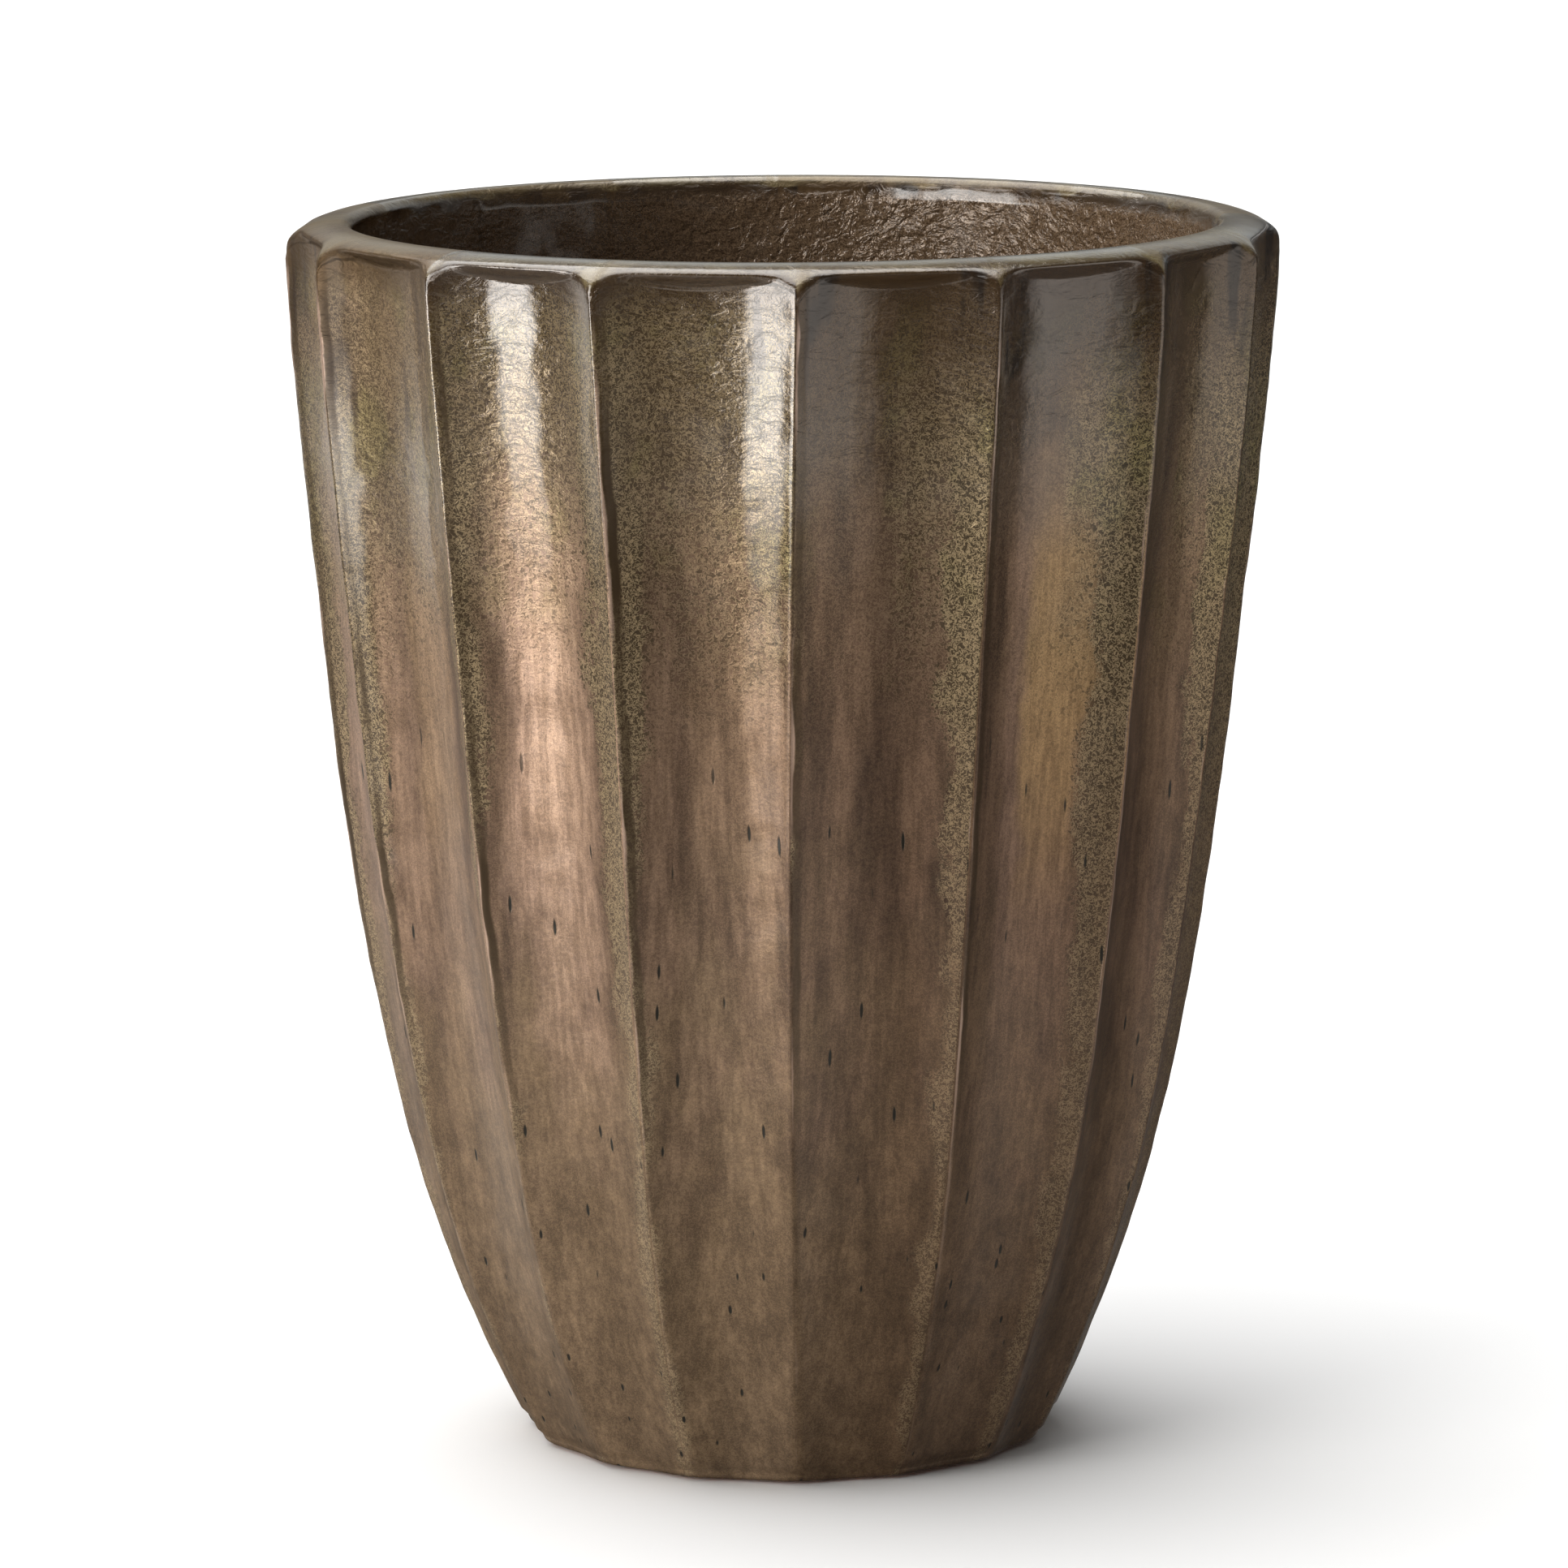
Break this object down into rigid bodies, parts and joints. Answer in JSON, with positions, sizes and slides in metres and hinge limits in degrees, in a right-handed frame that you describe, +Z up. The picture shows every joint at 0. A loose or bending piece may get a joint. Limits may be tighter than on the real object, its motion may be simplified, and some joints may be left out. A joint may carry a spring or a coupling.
{
  "type": "fluted planter pot",
  "caption": "Tall tapering planter pot with concave vertical flutes, a rounded lip and a metallic bronze glaze, with a drain plug, a drain screen and foot pads.",
  "frame": {"origin": "on the ground, under the centre of the foot ring", "axes": "+Z up along the pot's axis; one flute ridge points along -Y and another along +X"},
  "size_m": [0.4322, 0.4322, 0.535],
  "materials": {
    "glaze": "metallic bronze glaze, glossy near the lip and satin lower down",
    "plug_rubber": "matt black rubber",
    "screen_plastic": "fine-grained black plastic",
    "pad_rubber": "matt dark grey rubber"
  },
  "bodies": {
    "pot": {"pot_body": "glaze", "foot_pad_1": "pad_rubber", "foot_pad_2": "pad_rubber", "foot_pad_3": "pad_rubber", "foot_pad_4": "pad_rubber"},
    "plug": {"drain_plug": "plug_rubber"},
    "screen": {"drain_screen": "screen_plastic"}
  },
  "joints": [
    {"name": "plug_pull", "type": "slide", "parent": "pot", "child": "plug", "axis": [0, 0, -1], "range_m": [0, 0.045]},
    {"name": "screen_lift", "type": "slide", "parent": "pot", "child": "screen", "axis": [0, 0, 1], "range_m": [0, 0.52]}
  ]
}
